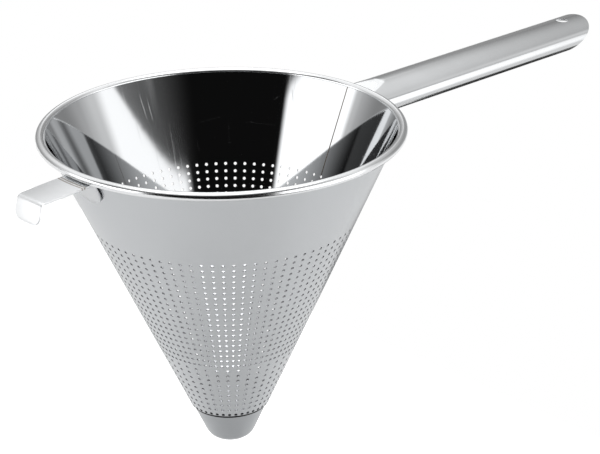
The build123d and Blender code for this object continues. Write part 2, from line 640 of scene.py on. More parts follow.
@dataclass
class RimRing:
    """The round wire ring about the mouth."""

    outer_diameter: float = 188.0
    wire_diameter: float = 4.4
    steps_round: int = 288
    steps_wire: int = 36

    @property
    def wire_radius(self) -> float:
        """The wire's radius."""
        return self.wire_diameter / 2

    @property
    def path_radius(self) -> float:
        """The radius of the wire's centre line."""
        return self.outer_diameter / 2 - self.wire_radius

    def tree(self, material: bpy.types.Material) -> bpy.types.NodeTree:
        """Builds the geometry tree that bends a wire into the ring.

        Args:
            material: The ring's material.

        Returns:
            The tree.
        """
        tree = new_geometry_tree("ring_wire", {"Path Radius": 1.0, "Wire Radius": 0.1})
        graph = Graph(tree)
        given = graph.node("NodeGroupInput")
        path_radius = Value(graph, given.outputs["Path Radius"])
        wire_radius = Value(graph, given.outputs["Wire Radius"])
        circle = "GeometryNodeCurvePrimitiveCircle"
        path = graph.add(circle, None, {"Resolution": self.steps_round, "Radius": path_radius})
        wire = graph.add(circle, None, {"Resolution": self.steps_wire, "Radius": wire_radius})
        tube = graph.add("GeometryNodeCurveToMesh", None, {"Curve": path, "Profile Curve": wire})
        finish_tree(graph, graph.move(tube, Offset=graph.vector(0.0, 0.0, wire_radius * -1.0)), material)
        return tree

    def build(self, material: bpy.types.Material) -> bpy.types.Object:
        """Makes the ring.

        Args:
            material: Its material.

        Returns:
            The piece.
        """
        sizes = {"Path Radius": self.path_radius * MM, "Wire Radius": self.wire_radius * MM}
        mesh = run_tree(self.tree(material), sizes)
        mesh.shade_smooth()
        return mount(add_object("ring", mesh, material), "rim_ring")


def new_geometry_tree(name: str, inputs: dict[str, float]) -> bpy.types.NodeTree:
    """Starts a geometry tree with named inputs for its sizes.

    Args:
        name: The tree's name.
        inputs: Each input's name and default value.

    Returns:
        The tree.
    """
    tree = bpy.data.node_groups.new(name, "GeometryNodeTree")
    tree.interface.new_socket(name="Geometry", in_out="INPUT", socket_type="NodeSocketGeometry")
    tree.interface.new_socket(name="Geometry", in_out="OUTPUT", socket_type="NodeSocketGeometry")
    for key, value in inputs.items():
        kind = "NodeSocketInt" if isinstance(value, int) else "NodeSocketFloat"
        tree.interface.new_socket(name=key, in_out="INPUT", socket_type=kind).default_value = value
    return tree


def finish_tree(graph: Graph, geometry: Value, material: bpy.types.Material) -> None:
    """Ends a geometry tree with Realize Instances and Set Material.

    Args:
        graph: The tree's graph.
        geometry: What it has made.
        material: The material to set.
    """
    real = graph.add("GeometryNodeRealizeInstances", None, {"Geometry": geometry})
    dressed = graph.add("GeometryNodeSetMaterial", None, {"Geometry": real, "Material": material})
    graph.node("NodeGroupOutput", None, {"Geometry": dressed})


def run_tree(tree: bpy.types.NodeTree, sizes: dict[str, float]) -> bpy.types.Mesh:
    """Runs a geometry tree and keeps its result as a plain mesh.

    Args:
        tree: The tree.
        sizes: What each named input is given.

    Returns:
        The mesh.
    """
    carrier = bpy.data.objects.new(tree.name, bpy.data.meshes.new(tree.name))
    bpy.context.scene.collection.objects.link(carrier)
    modifier = carrier.modifiers.new("make", "NODES")
    modifier.node_group = tree
    for item in tree.interface.items_tree:
        if item.item_type == "SOCKET" and item.in_out == "INPUT" and item.name in sizes:
            modifier[item.identifier] = sizes[item.name]
    depsgraph = bpy.context.evaluated_depsgraph_get()
    mesh = bpy.data.meshes.new_from_object(carrier.evaluated_get(depsgraph))
    carrier.modifiers.remove(modifier)
    bpy.data.objects.remove(carrier)
    return mesh


@dataclass
class Tiling:
    """A field of equal tiles laid round the cone.

    Attributes:
        columns: How many tiles go round.
        phase: The first tile's place, in tile widths of the full grid.
        rows: How many rows of tiles there are.
        first_down: The slant from the ring's seat to the middle of the first row.
        pitch: The height of a row along the slant.
        punched: Whether each tile has a hole.
    """

    columns: int
    phase: int
    rows: int
    first_down: float
    pitch: float
    punched: bool


@dataclass
class PunchedCone:
    """The rolled sheet with its rings of round holes, all of which are modelled."""

    ring: RimRing
    half_angle: float = 24.0
    wall_length: float = 168.8
    top_lip: float = -0.6
    sheet: float = 0.6
    hole_diameter: float = 1.7
    hole_sides: int = 12
    first_ring_down: float = 50.8
    ring_pitch: float = 4.03
    dense_rings: int = 20
    sparse_rings: int = 10
    dense_columns: int = 82
    plain_rows: int = 8
    tile_weld: float = 0.02
    face_weld: float = 0.005
    face_limit: float = 0.8

    @property
    def slope(self) -> float:
        """The cone's half-angle, in radians."""
        return math.radians(self.half_angle)

    def seat(self, out: float = 0.0) -> Pair:
        """Radius and height of the line where the ring touches the wall, or of one `out` outside it."""
        gap = self.ring.wire_radius - out
        radius = self.ring.path_radius - gap * math.cos(self.slope)
        return radius, gap * math.sin(self.slope) - self.ring.wire_radius

    def radius_at(self, height: float, out: float = 0.0) -> float:
        """The radius of the outer face at a height, or of a face `out` outside it."""
        radius, level = self.seat(out)
        return radius + (height - level) * math.tan(self.slope)

    def tilings(self) -> list[Tiling]:
        """The fields of tiles that cover the sheet.

        Returns:
            The plain band below the ring, the dense punching, and the sparse punching with its blanks.
        """
        half = self.dense_columns // 2
        top = self.first_ring_down - self.ring_pitch / 2
        band = (top + self.top_lip) / self.plain_rows
        low = self.first_ring_down + self.dense_rings * self.ring_pitch
        return [
            Tiling(self.dense_columns, 0, self.plain_rows, band / 2 - self.top_lip, band, False),
            Tiling(self.dense_columns, 0, self.dense_rings, self.first_ring_down, self.ring_pitch, True),
            Tiling(half, 0, self.sparse_rings, low, self.ring_pitch, True),
            Tiling(half, 1, self.sparse_rings, low, self.ring_pitch, False),
        ]

    def tile(self, graph: Graph, punched: bool) -> Value:
        """Makes one flat tile: a unit square, with a hole's rim on a circle of unit radius if punched.

        Args:
            graph: The tree's graph.
            punched: Whether the tile has a hole.

        Returns:
            The tile, with its flat place and a flag for its hole's rim kept as attributes.
        """
        fill = "NONE" if punched else "NGON"
        sides = {"Vertices": self.hole_sides, "Radius": 1.0}
        circle = graph.add("GeometryNodeMeshCircle", {"fill_type": fill}, sides)
        angle = (graph.add("GeometryNodeInputIndex") + 0.5) * (TURN / self.hole_sides)
        rim = graph.vector(angle.math("COSINE"), angle.math("SINE"), 0.0)
        shape = graph.move(circle, Position=rim)
        x, y, _ = graph.parts(graph.add("GeometryNodeInputPosition"))
        reach = x.math("ABSOLUTE").math("MAXIMUM", y.math("ABSOLUTE")) * 2.0
        square = graph.vector(x / reach, y / reach, 0.0)
        if punched:
            spread = graph.node("GeometryNodeExtrudeMesh", {"mode": "EDGES"}, {"Mesh": shape, "Offset Scale": 0.0})
            top = Value(graph, spread.outputs["Top"])
            shape = Value(graph, spread.outputs["Mesh"])
            shape = graph.keep(shape, "hole_rim", "FLOAT", graph.add(
                "GeometryNodeSwitch", {"input_type": "FLOAT"}, {"Switch": top, "False": 1.0, "True": 0.0}
            ))
            rimmed = graph.recall("hole_rim", "FLOAT").math("LESS_THAN", 0.5)
            shape = graph.move(shape, Selection=rimmed, Position=square)
        else:
            shape = graph.keep(graph.move(shape, Position=square), "hole_rim", "FLOAT", 0.0)
        return graph.keep(shape, "tile_place", "FLOAT_VECTOR", graph.add("GeometryNodeInputPosition"))

    def field(self, graph: Graph, sizes: dict[str, Value], tiling: Tiling) -> Value:
        """Lays one field of tiles and wraps it round the inner face of the cone.

        Args:
            graph: The tree's graph.
            sizes: The tree's named inputs.
            tiling: The field's numbers.

        Returns:
            The wrapped field, with its outward direction kept as an attribute.
        """
        index = graph.add("GeometryNodeInputIndex")
        count = tiling.columns * tiling.rows
        row = (index / tiling.columns).math("FLOOR")
        column = index - row * tiling.columns
        points = graph.add("GeometryNodePoints", None, {"Count": count})
        points = graph.keep(points, "tile_row", "FLOAT", row)
        points = graph.keep(points, "tile_column", "FLOAT", column)
        laid = graph.add(
            "GeometryNodeInstanceOnPoints", None, {"Points": points, "Instance": self.tile(graph, tiling.punched)}
        )
        laid = graph.add("GeometryNodeRealizeInstances", None, {"Geometry": laid})
        x, y, _ = graph.parts(graph.recall("tile_place", "FLOAT_VECTOR"))
        at_hole = graph.recall("hole_rim", "FLOAT")
        pitch = tiling.pitch * MM
        middle = graph.recall("tile_row", "FLOAT") * pitch + tiling.first_down * MM
        square_down = (middle - y * pitch).math("MINIMUM", sizes["Wall Length"])
        round_down = middle - y * sizes["Hole Radius"]
        down = square_down * (1 - at_hole) + round_down * at_hole
        sine, cosine = sizes["Half Angle"].math("SINE"), sizes["Half Angle"].math("COSINE")
        radius = sizes["Seat Radius"] - down * sine
        height = sizes["Seat Height"] - down * cosine
        tile_turn = TURN / self.dense_columns
        start = graph.recall("tile_column", "FLOAT") * (TURN / tiling.columns) + tiling.phase * tile_turn
        turn = start + x * tile_turn * (1 - at_hole) + x * sizes["Hole Radius"] * at_hole / radius
        along, across = turn.math("COSINE"), turn.math("SINE")
        place = graph.vector(radius * along, radius * across, height)
        outward = graph.vector(cosine * along, cosine * across, sine * -1.0)
        return graph.keep(graph.move(laid, Position=place), "outward", "FLOAT_VECTOR", outward)

    def tree(self, material: bpy.types.Material) -> bpy.types.NodeTree:
        """Builds the geometry tree of the punched sheet.

        Args:
            material: The sheet's material.

        Returns:
            The tree.
        """
        names = ["Seat Radius", "Seat Height", "Wall Length", "Hole Radius", "Sheet", "Half Angle"]
        tree = new_geometry_tree("punched_sheet", dict.fromkeys(names, 0.0))
        graph = Graph(tree)
        given = graph.node("NodeGroupInput")
        sizes = {name: Value(graph, given.outputs[name]) for name in names}
        joined = graph.node("GeometryNodeJoinGeometry")
        for tiling in self.tilings():
            tree.links.new(self.field(graph, sizes, tiling).socket, joined.inputs[0])
        merge = "GeometryNodeMergeByDistance"
        fields = Value(graph, joined.outputs[0])
        skin = graph.add(merge, None, {"Geometry": fields, "Distance": self.tile_weld * MM})
        flat = {"Mesh": skin, "Offset Scale": 0.0, "Individual": False}
        thick = graph.node("GeometryNodeExtrudeMesh", {"mode": "FACES"}, flat)
        outer = graph.add("ShaderNodeVectorMath", {"operation": "SCALE"}, {
            0: graph.recall("outward", "FLOAT_VECTOR"), "Scale": sizes["Sheet"]
        })
        mesh, top = Value(graph, thick.outputs["Mesh"]), Value(graph, thick.outputs["Top"])
        raised = graph.move(mesh, Selection=top, Offset=outer)
        closed = graph.node("GeometryNodeJoinGeometry")
        tree.links.new(raised.socket, closed.inputs[0])
        tree.links.new(graph.add("GeometryNodeFlipFaces", None, {"Mesh": skin}).socket, closed.inputs[0])
        faces = Value(graph, closed.outputs[0])
        shell = graph.add(merge, None, {"Geometry": faces, "Distance": self.face_weld * MM})
        finish_tree(graph, shell, material)
        return tree

    def set_normals(self, mesh: bpy.types.Mesh) -> None:
        """Gives both faces of the sheet the cone's own normals, so that they mirror without facets.

        Args:
            mesh: The sheet's mesh.
        """
        corners = np.zeros(len(mesh.loops), np.int32)
        mesh.loops.foreach_get("vertex_index", corners)
        places = np.zeros(len(mesh.vertices) * 3)
        mesh.vertices.foreach_get("co", places)
        places = places.reshape(-1, 3)[corners]
        faces = np.zeros(len(mesh.polygons) * 3)
        mesh.polygons.foreach_get("normal", faces)
        counts = np.zeros(len(mesh.polygons), np.int32)
        mesh.polygons.foreach_get("loop_total", counts)
        flat = np.repeat(faces.reshape(-1, 3), counts, axis=0)
        radial = places[:, :2] / np.linalg.norm(places[:, :2], axis=1, keepdims=True)
        tilt = np.full((len(radial), 1), -math.sin(self.slope))
        outward = np.hstack([radial * math.cos(self.slope), tilt])
        facing = (flat * outward).sum(axis=1, keepdims=True)
        normals = np.where(facing < -self.face_limit, -outward, flat)
        normals = np.where(facing > self.face_limit, outward, normals)
        mesh.shade_smooth()
        mesh.normals_split_custom_set(normals.tolist())

    def build(self, material: bpy.types.Material) -> bpy.types.Object:
        """Makes the sheet.

        Args:
            material: Its material.

        Returns:
            The piece.
        """
        radius, height = self.seat(-self.sheet)
        mesh = run_tree(self.tree(material), {
            "Seat Radius": radius * MM,
            "Seat Height": height * MM,
            "Wall Length": self.wall_length * MM,
            "Hole Radius": self.hole_diameter / 2 * MM,
            "Sheet": self.sheet * MM,
            "Half Angle": self.slope,
        })
        self.set_normals(mesh)
        return mount(add_object("cone", mesh, material), "strainer_cone")


def closed_mesh(name: str, rows: Sequence[np.ndarray], ends: bool) -> bpy.types.Mesh:
    """Skins a stack of closed loops of points.

    Args:
        name: The mesh's name.
        rows: The loops, each an array of points in millimetres, all of one length.
        ends: Whether the first and last loops are filled. If not, the last joins the first.

    Returns:
        The mesh.
    """
    count = len(rows[0])
    points = np.concatenate(rows) * MM
    last = len(rows) - 1 if ends else len(rows)
    faces = []
    for row in range(last):
        here, there = row * count, (row + 1) % len(rows) * count
        for step in range(count):
            after = (step + 1) % count
            faces.append((here + step, here + after, there + after, there + step))
    if ends:
        faces.append(tuple(reversed(range(count))))
        faces.append(tuple(range(last * count, (last + 1) * count)))
    mesh = bpy.data.meshes.new(name)
    mesh.from_pydata(points.tolist(), [], faces)
    work = bmesh.new()
    work.from_mesh(mesh)
    bmesh.ops.remove_doubles(work, verts=work.verts, dist=0.001 * MM)
    bmesh.ops.recalc_face_normals(work, faces=work.faces)
    work.to_mesh(mesh)
    work.free()
    return mesh


def arc(centre: Pair, radius: float, start: float, end: float, steps: int) -> list[Pair]:
    """Points on an arc between two angles in radians, cut into a number of steps."""
    angles = np.linspace(start, end, steps + 1)
    return [(centre[0] + radius * math.cos(a), centre[1] + radius * math.sin(a)) for a in angles]


@dataclass
class TipCap:
    """The drawn cup without holes at the tip."""

    cone: PunchedCone
    sheet: float = 0.8
    collar: float = 3.4
    fit: float = 0.05
    drop: float = 21.9
    corner_radius: float = 9.0
    steps_round: int = 144
    steps_corner: int = 16
    groove: Pair = (1.4, 0.15)
    bead: Pair = (0.9, 0.25)
    bead_steps: int = 8
    bead_start: float = 0.85
    crease: float = 40.0

    def joint(self, edge: Pair) -> list[Pair]:
        """The small bead and the groove above it that mark the joint with the cone.

        Args:
            edge: The point of the cup's outside level with the cone's lower edge, as (radius, height).

        Returns:
            The section's points, upwards.
        """
        slope = self.cone.slope
        groove, depth = self.groove
        width, rise = self.bead
        shares = np.linspace(0, 1, self.bead_steps + 1)
        steps = [(groove + width * (1 - s), rise * math.sin(math.pi * s)) for s in shares]
        steps += [(groove * self.bead_start, -depth), (0.0, -depth)]
        return [
            (
                edge[0] - down * math.sin(slope) + out * math.cos(slope),
                edge[1] - down * math.cos(slope) - out * math.sin(slope),
            )
            for down, out in steps
        ]

    def profile(self) -> list[Pair]:
        """The cup's section, as (radius, height) from the middle of its outside round to that of its inside.

        Returns:
            The points.
        """
        cone = self.cone
        slope = cone.slope
        radius, level = cone.seat(-cone.sheet - self.fit)
        inset = cone.wall_length - self.collar
        top = (radius - inset * math.sin(slope), level - inset * math.cos(slope))
        bottom = level - cone.wall_length * math.cos(slope) - self.drop
        foot = top[0] - (top[1] - bottom) * math.tan(slope)
        flat = foot - self.corner_radius * math.tan((math.pi / 2 - slope) / 2)
        centre = (flat, bottom + self.corner_radius)
        outside = arc(centre, self.corner_radius, -math.pi / 2, -slope, self.steps_corner)
        inside = arc(centre, self.corner_radius - self.sheet, -slope, -math.pi / 2, self.steps_corner)
        along = (math.sin(slope), math.cos(slope))
        inner_top = (top[0] - self.sheet * along[1], top[1] + self.sheet * along[0])
        blunt = self.sheet / 4
        lip = [
            (top[0] - blunt * along[0], top[1] - blunt * along[1]),
            (top[0] - blunt * along[1], top[1] + blunt * along[0]),
            (inner_top[0] + blunt * along[1], inner_top[1] - blunt * along[0]),
            (inner_top[0] - blunt * along[0], inner_top[1] - blunt * along[1]),
        ]
        edge = (top[0] - self.collar * along[0], top[1] - self.collar * along[1])
        return [(0.0, bottom), *outside, *self.joint(edge), *lip, *inside, (0.0, bottom + self.sheet)]

    def build(self, material: bpy.types.Material) -> bpy.types.Object:
        """Makes the cup.

        Args:
            material: Its material.

        Returns:
            The piece.
        """
        mesh = lathe("cap", self.profile(), self.steps_round)
        smooth(mesh, self.crease)
        return mount(add_object("cap", mesh, material), "tip_cap")


def lathe(name: str, profile: Sequence[Pair], steps: int) -> bpy.types.Mesh:
    """Turns a section about the Z axis.

    Args:
        name: The mesh's name.
        profile: The section, as (radius, height) in millimetres, from axis to axis.
        steps: How many parts the turn has.

    Returns:
        The mesh, with its doubles merged and its faces outwards.
    """
    angles = np.arange(steps) * (TURN / steps)
    circle = np.stack([np.cos(angles), np.sin(angles), np.zeros(steps)], axis=1)
    rows = [circle * radius + np.array([0.0, 0.0, height]) for radius, height in profile]
    return closed_mesh(name, rows, True)


@dataclass
class RestHook:
    """The bent strap below the ring, opposite the handle."""

    cone: PunchedCone
    width: float = 19.2
    thickness: float = 1.2
    ring_gap: float = 0.2
    reach: float = 27.7
    fall: float = 1.5
    flange_length: float = 14.0
    flange_corner_radius: float = 8.0
    lip_length: float = 11.0
    lip_lean: float = 15.0
    lip_corner_radius: float = 5.0
    bend_radius: float = 2.2
    seat_gap: float = 0.05
    edge_radius: float = 0.22
    steps_bend: int = 8
    step_length: float = 0.6
    crease: float = 35.0

    def corners(self) -> list[Vector]:
        """The corner points of the strap's centre line, as (distance from the axis, height).

        Returns:
            The flange's end, its top, the strap's end and the lip's end.
        """
        cone = self.cone
        ring = cone.ring
        slope = cone.slope
        centre_out = self.seat_gap + self.thickness / 2
        radius, height = cone.seat(centre_out)
        level = -ring.wire_diameter - self.ring_gap - self.thickness / 2
        fall = self.fall / self.reach
        down = (height - level + fall * (radius - ring.path_radius)) / (math.cos(slope) + fall * math.sin(slope))
        along = Vector((math.sin(slope), math.cos(slope)))
        top = Vector((radius, height)) - along * down
        end = Vector((ring.path_radius + self.reach, level - self.fall))
        lean = math.radians(self.lip_lean)
        lip = end + Vector((math.sin(lean), -math.cos(lean))) * self.lip_length
        return [top - along * self.flange_length, top, end, lip]

    def path(self) -> list[tuple[Vector, Vector]]:
        """Places and directions along the centre line, with its bends rounded.

        Returns:
            The (place, direction) pairs.
        """
        points = self.corners()
        run = [points[0]]
        for before, corner, after in zip(points, points[1:], points[2:]):
            into, out = (corner - before).normalized(), (after - corner).normalized()
            turn = into.angle_signed(out)
            cut = self.bend_radius * math.tan(abs(turn) / 2)
            start = corner - into * cut
            side = Vector((into.y, -into.x)) * (1 if turn > 0 else -1)
            centre = start + side * self.bend_radius
            for share in np.linspace(0, 1, self.steps_bend + 1):
                arm = Matrix.Rotation(-turn * float(share), 2) @ (start - centre)
                run.append(centre + arm)
        run.append(points[-1])
        dense = [run[0]]
        for here, there in zip(run, run[1:]):
            parts = max(1, round((there - here).length / self.step_length))
            dense.extend(here.lerp(there, (step + 1) / parts) for step in range(parts))
        ways = [(b - a).normalized() for a, b in zip(dense, dense[1:])]
        ways = [ways[0], *((a + b).normalized() for a, b in zip(ways, ways[1:])), ways[-1]]
        return list(zip(dense, ways))

    def half_width(self, from_flange: float, from_lip: float) -> float:
        """Half the strap's width at a place, narrowed by its rounded corners.

        Args:
            from_flange: The distance from the flange's end.
            from_lip: The distance from the lip's end.

        Returns:
            The half width.
        """
        half = self.width / 2
        for distance, radius in ((from_flange, self.flange_corner_radius), (from_lip, self.lip_corner_radius)):
            if distance < radius:
                half -= radius - math.sqrt(max(radius**2 - (radius - distance) ** 2, 0.0))
        return half

    def build(self, material: bpy.types.Material) -> bpy.types.Object:
        """Makes the strap.

        Args:
            material: Its material.

        Returns:
            The piece.
        """
        path = self.path()
        steps = [(b[0] - a[0]).length for a, b in zip(path, path[1:])]
        total = sum(steps)
        walked = 0.0
        rows = []
        for (place, way), step in zip(path, [*steps, 0.0]):
            half = self.half_width(walked, total - walked)
            side = Vector((-way.y, way.x))
            rows.append(self.section(place, side, half))
            walked += step
        mesh = closed_mesh("hook", rows, True)
        smooth(mesh, self.crease)
        return mount(add_object("hook", mesh, material), "rest_hook")

    def section(self, place: Vector, side: Vector, half: float) -> np.ndarray:
        """One cross-section of the strap, with rounded edges.

        Args:
            place: Its centre, as (distance from the axis, height).
            side: The direction of the strap's thickness.
            half: Half its width.

        Returns:
            Its points in the row frame.
        """
        r = self.edge_radius
        outline = []
        for quarter, (sign_w, sign_t) in enumerate(((1, 1), (-1, 1), (-1, -1), (1, -1))):
            centre = (sign_w * (half - r), sign_t * (self.thickness / 2 - r))
            outline.extend(arc(centre, r, quarter * math.pi / 2, (quarter + 1) * math.pi / 2, 4))
        return np.array([(-(place.x + side.x * t), w, place.y + side.y * t) for w, t in outline])


@dataclass
class Handle:
    """The oval tube, pressed flat at its root, with an oblique open end."""

    cone: PunchedCone
    width: float = 30.4
    height: float = 17.4
    wall: float = 1.2
    axis_drop: float = 11.9
    reach: float = 187.5
    flat_length: float = 21.2
    flat_gap: float = 1.5
    flat_blend: float = 0.4
    flat_depth: float = 0.2
    flat_step: float = 0.7
    scoop_length: float = 26.0
    hole_diameter: float = 6.8
    hole_inset: float = 15.5
    seat_gap: float = 0.05
    steps_round: int = 120
    steps_hole: int = 32
    spans: tuple[tuple[float, float, int], ...] = ((0.0, 0.17, 72), (0.17, 0.78, 28), (0.78, 1.0, 30))
    crease: float = 35.0

    @property
    def tip(self) -> float:
        """How far the handle reaches from the cone's axis."""
        return self.cone.ring.outer_diameter / 2 + self.reach

    @property
    def top(self) -> float:
        """The height of the tube's top."""
        return self.height / 2 - self.axis_drop

    def pressed(self, x: np.ndarray, z: np.ndarray, inset: float) -> np.ndarray:
        """Lowers heights to the flat that is pressed into the root.

        Args:
            x: Places along the handle.
            z: Heights on the oval.
            inset: How far inside the tube's outside they are.

        Returns:
            The lowered heights.
        """
        ring = self.cone.ring
        fall = (self.top + ring.wire_diameter + self.flat_gap) / self.flat_length
        from_end = x - ring.path_radius - self.flat_length
        flat = self.top - inset + fall * from_end - self.flat_depth * np.clip(-from_end / self.flat_step, 0, 1)
        share = np.clip(0.5 + (z - flat) / (2 * self.flat_blend), 0, 1)
        return z + (flat - z) * share - self.flat_blend * share * (1 - share)

    def stations(self) -> np.ndarray:
        """The shares of the tube's length at which it has a loop of points, close where its shape changes."""
        return np.unique(np.concatenate([np.linspace(*span) for span in self.spans]))

    def wall_loops(self, inset: float) -> list[np.ndarray]:
        """The loops of points of the tube's outside, or of a face inset from it.

        Args:
            inset: How far inside the outside the face is.

        Returns:
            The loops, from the root to the oblique end.
        """
        angles = np.arange(self.steps_round) * (TURN / self.steps_round)
        y = (self.width / 2 - inset) * np.sin(angles)
        oval = (self.height / 2 - inset) * np.cos(angles) - self.axis_drop
        root = np.full_like(y, self.cone.ring.path_radius)
        for _ in range(4):
            z = self.pressed(root, oval, inset)
            wall = self.cone.radius_at(0.0, self.seat_gap) + z * math.tan(self.cone.slope)
            root = np.sqrt(wall**2 - y**2)
        end = self.tip - self.scoop_length * (self.top - oval) / self.height
        loops = []
        for share in self.stations():
            x = root + (end - root) * share
            loops.append(np.stack([x, y, self.pressed(x, oval, inset)], axis=1))
        return loops

    def build(self, material: bpy.types.Material) -> bpy.types.Object:
        """Makes the tube.

        Args:
            material: Its material.

        Returns:
            The piece.
        """
        outside = self.wall_loops(0.0)
        inside = self.wall_loops(self.wall)
        mesh = closed_mesh("handle", [*outside, *reversed(inside)], False)
        piece = add_object("handle_tube", mesh, material)
        self.drill(piece)
        smooth(piece.data, self.crease)
        return mount(piece, "handle")

    def drill(self, piece: bpy.types.Object) -> None:
        """Cuts the hanging hole through the top wall.

        Args:
            piece: The tube.
        """
        radius = self.hole_diameter / 2
        place = Vector((self.tip - self.hole_inset, 0.0, 0.0))
        angles = np.arange(self.steps_hole) * (TURN / self.steps_hole)
        circle = np.stack([np.cos(angles) * radius, np.sin(angles) * radius, np.zeros(self.steps_hole)], axis=1)
        rows = [circle + np.array([*place.xy, z]) for z in (-self.axis_drop, self.top + self.wall)]
        cutter = bpy.data.objects.new("drill", closed_mesh("drill", rows, True))
        bpy.context.scene.collection.objects.link(cutter)
        cut = piece.modifiers.new("hole", "BOOLEAN")
        cut.operation = "DIFFERENCE"
        cut.object = cutter
        cut.solver = "EXACT"
        depsgraph = bpy.context.evaluated_depsgraph_get()
        mesh = bpy.data.meshes.new_from_object(piece.evaluated_get(depsgraph))
        piece.modifiers.remove(cut)
        bpy.data.objects.remove(cutter)
        piece.data = mesh


@dataclass
class Eye:
    """The photograph's camera, as fitted to the rim, the wall and the punching."""

    place: tuple[float, float, float] = (-614.1, -719.0, 343.1)
    heading: float = 47.148
    pitch: float = -22.942
    roll: float = -0.790
    lens: float = 119.146
    sensor: float = 36.0
    sight: float = 50.0

    def build(self) -> bpy.types.Object:
        """Makes the camera and gives it to the scene.

        Returns:
            The camera.
        """
        data = bpy.data.cameras.new("eye")
        data.lens = self.lens
        data.sensor_width = self.sensor
        data.clip_end = self.sight
        made = bpy.data.objects.new("eye", data)
        turn = Matrix.Rotation(math.radians(self.heading - 90), 4, "Z")
        tip = Matrix.Rotation(math.radians(90 + self.pitch), 4, "X")
        lean = Matrix.Rotation(math.radians(self.roll), 4, "Z")
        made.matrix_world = Matrix.Translation(Vector(self.place) * MM) @ turn @ tip @ lean
        bpy.context.scene.collection.objects.link(made)
        bpy.context.scene.camera = made
        return made


@dataclass(frozen=True)
class Softbox:
    """A patch of the studio's light, by its place in the sky about the camera's side.

    Attributes:
        start: Its first edge, in degrees from the camera's side, positive towards the camera's right.
        end: Its other edge.
        low: Its lower edge, in degrees above the horizon.
        high: Its upper edge at `start`.
        tilt: How far its upper edge rises for each degree of turn.
        level: Its brightness.
        soft: The width of its side edges' blur, in degrees.
        blur: The width of its upper edge's blur.
        foot: The width of its lower edge's blur.
    """

    start: float
    end: float
    low: float
    high: float
    tilt: float
    level: float
    soft: float
    blur: float
    foot: float = 6.0

    def mask(self, turn: Value, rise: Value) -> Value:
        """How much of the patch shows in a direction.

        Args:
            turn: The direction's turn from the camera's side, in degrees.
            rise: Its height above the horizon.

        Returns:
            A value from 0 to 1.
        """
        above = rise - (turn - self.start) * self.tilt
        sides = turn.band(self.start, self.end, self.soft) * rise.ramp(self.low - self.foot, self.low)
        return sides * above.ramp(self.high, self.high + self.blur, 1.0, 0.0)


class Sight:
    """The direction in which a ray meets the surround.

    Attributes:
        x: Its part along the handle.
        z: Its upward part.
        ahead: Its part towards the camera's side.
        aside: Its part to either side of that, without its sign.
        turn: Its turn from the camera's side, in degrees, positive towards the camera's right.
        off: The size of that turn.
        rise: Its height above the horizon, in degrees.
    """

    def __init__(self, graph: Graph, camera_side: float) -> None:
        """Reads the direction.

        Args:
            graph: The world's graph.
            camera_side: The direction of the camera's side about the cone's axis, in degrees.
        """
        self.x, y, self.z = graph.parts(graph.add("ShaderNodeTexCoord", None, None, "Generated"))
        side = math.radians(camera_side)
        right = y * math.cos(side) - self.x * math.sin(side)
        self.ahead = self.x * math.cos(side) + y * math.sin(side)
        self.aside = right.math("ABSOLUTE")
        self.turn = right.math("ARCTAN2", self.ahead) * DEGREES
        self.off = self.turn.math("ABSOLUTE")
        self.rise = self.z.math("ARCSINE") * DEGREES


@dataclass(frozen=True)
class Patch:
    """A grey of the surround, as a product of steps, each on one part of the direction.

    A step of two or four numbers is a ramp: its ends, and its levels there if they aren't 0 and 1. A step of
    three is a band: its two edges and their blur.
    """

    level: float = 1.0
    x: Steps = ()
    z: Steps = ()
    ahead: Steps = ()
    aside: Steps = ()
    turn: Steps = ()
    off: Steps = ()
    rise: Steps = ()

    def seen(self, way: Sight) -> Value:
        """How bright the patch is in a direction.

        Args:
            way: The direction.

        Returns:
            Its level.
        """
        pairs = [
            (way.x, self.x), (way.z, self.z), (way.ahead, self.ahead), (way.aside, self.aside),
            (way.turn, self.turn), (way.off, self.off), (way.rise, self.rise),
        ]
        steps = [part.band(*step) if len(step) == 3 else part.ramp(*step) for part, step in pairs if step]
        return math.prod(steps, start=self.level)


